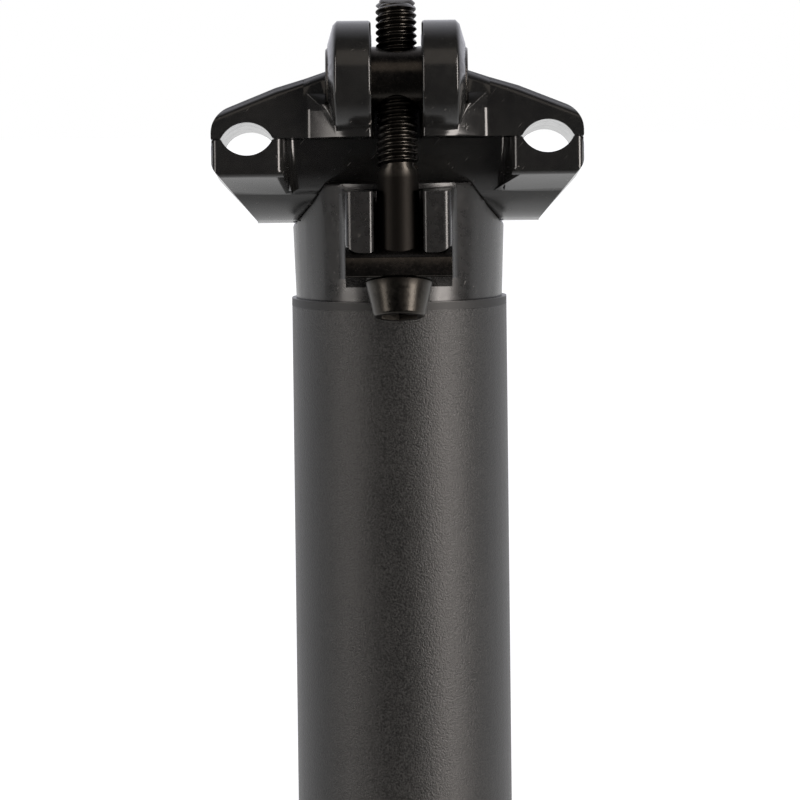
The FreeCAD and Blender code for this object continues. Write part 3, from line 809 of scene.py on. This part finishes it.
@dataclass
class Studio:
    """The white studio: floor, soft lamps, pale surroundings and the camera."""

    focal_px: float = 7970.0
    camera_distance: float = 1.15
    look_down: float = 4.4
    roll: float = -0.68
    aim: tuple[float, float, float] = (-0.00007, 0.0, 0.31143)
    frame_px: int = 800
    sensor_mm: float = 36.0
    floor_half: float = 8.0
    # The lit paper as gloss mirrors it: its level rises along Y, in metres
    mirror_reach: tuple[float, float] = (-0.3, 0.1)
    mirror_level: tuple[float, float] = (0.04, 1.0)
    # The paper's own light: it rises with the distance from the post, in metres
    lift_reach: tuple[float, float] = (0.4, 1.6)
    lift_level: tuple[float, float] = (0.1, 0.8)
    # The room: it rises with the Y share of the way that a ray goes, from the front to the back
    room_reach: tuple[float, float] = (-0.05, 0.6)
    room_level: tuple[float, float] = (0.05, 1.0)
    # A strip each side, whose long reflections run down the tube and the neck
    right_strip: SoftBox = SoftBox("right_strip", (0.8, -0.68, 0.42), (0.34, 1.3), 14.5, "#fff7f1")
    left_strip: SoftBox = SoftBox("left_strip", (-0.88, -0.55, 0.42), (0.3, 1.3), 5.5, "#fff8f2")
    # A broad weak panel above the camera, which shows on what faces half up
    front_panel: SoftBox = SoftBox("front_panel", (0.0, -1.25, 1.6), (1.6, 1.0), 2.2, "#fff1e2")

    def build(self) -> None:
        """Build everything that isn't the seatpost."""
        self._lay_floor()
        self._light_world()
        for box in (self.right_strip, self.left_strip, self.front_panel):
            self._hang_lamp(box)
        self._place_camera()

    def _lay_floor(self) -> None:
        """Lay a plain pale floor that is white far off and takes the post's shadow."""
        bm = bmesh.new()
        bmesh.ops.create_grid(bm, x_segments=1, y_segments=1, size=self.floor_half)
        mesh = bpy.data.meshes.new("studio_floor")
        bm.to_mesh(mesh)
        bm.free()
        floor = bpy.data.objects.new("studio_floor", mesh)
        bpy.context.scene.collection.objects.link(floor)
        material, tree = new_tree("matt_white_paper")
        path = add_node(tree, "ShaderNodeLightPath").outputs
        spot = add_node(tree, "ShaderNodeTexCoord").outputs["Object"]
        place = add_node(tree, "ShaderNodeSeparateXYZ", {0: spot}).outputs["Y"]
        # Gloss mirrors the lit paper under and behind the post, and the dark room in front of it
        level = add_node(tree, "ShaderNodeMapRange", {
            "Value": place, "From Min": self.mirror_reach[0], "From Max": self.mirror_reach[1],
            "To Min": self.mirror_level[0], "To Max": self.mirror_level[1],
        }).outputs["Result"]
        mirrored = add_node(tree, "ShaderNodeEmission", {"Color": colour("#ffffff"), "Strength": level})
        seen = add_node(tree, "ShaderNodeMath", {0: path["Is Camera Ray"], 1: path["Is Transmission Ray"]},
                        operation="MAXIMUM").outputs[0]
        paper = add_node(tree, "ShaderNodeBsdfDiffuse", {"Color": colour("#f2f2f2")})
        # The paper's own light lifts it to white far off, and is weak near the post, where the shadow is
        away = add_node(tree, "ShaderNodeVectorMath", {0: spot}, operation="LENGTH").outputs["Value"]
        lift = add_node(tree, "ShaderNodeMapRange", {
            "Value": away, "From Min": self.lift_reach[0], "From Max": self.lift_reach[1],
            "To Min": self.lift_level[0], "To Max": self.lift_level[1],
        }).outputs["Result"]
        glow = add_node(tree, "ShaderNodeEmission", {"Color": colour("#ffffff"), "Strength": lift})
        lifted = add_node(tree, "ShaderNodeAddShader", {0: paper.outputs[0], 1: glow.outputs[0]})
        plain = add_node(tree, "ShaderNodeMixShader", {0: seen, 1: paper.outputs[0], 2: lifted.outputs[0]})
        surface = add_node(tree, "ShaderNodeMixShader", {
            0: path["Is Glossy Ray"], 1: plain.outputs[0], 2: mirrored.outputs[0],
        })
        add_node(tree, "ShaderNodeOutputMaterial", {"Surface": surface.outputs[0]})
        mesh.materials.append(material)

    def _light_world(self) -> None:
        """Surround the studio with white behind the seatpost and a dimmer room in front of it."""
        world = bpy.data.worlds.new("white_studio")
        bpy.context.scene.world = world
        world.use_nodes = True
        tree = world.node_tree
        tree.nodes.clear()
        way = add_node(tree, "ShaderNodeSeparateXYZ", {
            0: add_node(tree, "ShaderNodeTexCoord").outputs["Generated"],
        }).outputs["Y"]
        level = add_node(tree, "ShaderNodeMapRange", {
            "Value": way, "From Min": self.room_reach[0], "From Max": self.room_reach[1],
            "To Min": self.room_level[0], "To Max": self.room_level[1],
        }).outputs["Result"]
        path = add_node(tree, "ShaderNodeLightPath").outputs
        seen = add_node(tree, "ShaderNodeMath", {0: path["Is Camera Ray"], 1: path["Is Transmission Ray"]},
                        operation="MAXIMUM").outputs[0]
        white = add_node(tree, "ShaderNodeBackground", {"Color": colour("#ffffff"), "Strength": 1.0})
        room = add_node(tree, "ShaderNodeBackground", {"Color": colour("#f6f6ff"), "Strength": level})
        mixed = add_node(tree, "ShaderNodeMixShader", {0: seen, 1: room.outputs[0], 2: white.outputs[0]})
        add_node(tree, "ShaderNodeOutputWorld", {"Surface": mixed.outputs[0]})

    def _hang_lamp(self, box: SoftBox) -> None:
        """Hang a soft lamp so that it faces the head.

        Args:
            box: The lamp.
        """
        lamp = bpy.data.lights.new(box.name, "AREA")
        lamp.color = colour(box.tint)[:3]
        lamp.shape = "RECTANGLE"
        lamp.size, lamp.size_y = box.size
        lamp.energy = box.power
        holder = bpy.data.objects.new(box.name, lamp)
        aim = Vector(self.aim) - Vector(box.spot)
        holder.rotation_euler = aim.to_track_quat("-Z", "Y").to_euler()
        holder.location = box.spot
        bpy.context.scene.collection.objects.link(holder)

    def _place_camera(self) -> None:
        """Put the camera at the photograph's distance, height and angle, for an 800 by 800 image."""
        lens = bpy.data.cameras.new("studio_camera")
        lens.sensor_fit = "HORIZONTAL"
        lens.sensor_width = self.sensor_mm
        lens.lens = self.focal_px / self.frame_px * self.sensor_mm
        lens.clip_start, lens.clip_end = 0.05, 50.0
        camera = bpy.data.objects.new("studio_camera", lens)
        down = math.radians(self.look_down)
        back = Vector((0, -math.cos(down), math.sin(down)))
        camera.location = Vector(self.aim) + self.camera_distance * back
        facing = (Vector(self.aim) - camera.location).to_track_quat("-Z", "Y")
        rolled = facing.to_matrix() @ Matrix.Rotation(math.radians(self.roll), 3, "Z")
        camera.rotation_euler = rolled.to_euler()
        bpy.context.scene.collection.objects.link(camera)
        bpy.context.scene.camera = camera


def main() -> None:
    """Dress the seatpost, then build the studio round it."""
    logging.basicConfig(level=logging.INFO, format="%(name)s: %(message)s")
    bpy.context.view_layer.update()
    bpy.context.scene.view_settings.view_transform = "Standard"
    for assembly in (Post(), SaddleClamp(), BoltSet(End.REAR), BoltSet(End.FRONT)):
        for piece in assembly.build():
            LOG.info("%s: %d faces", piece.name, len(piece.data.polygons))
    Studio().build()


if __name__ == "__main__":
    main()
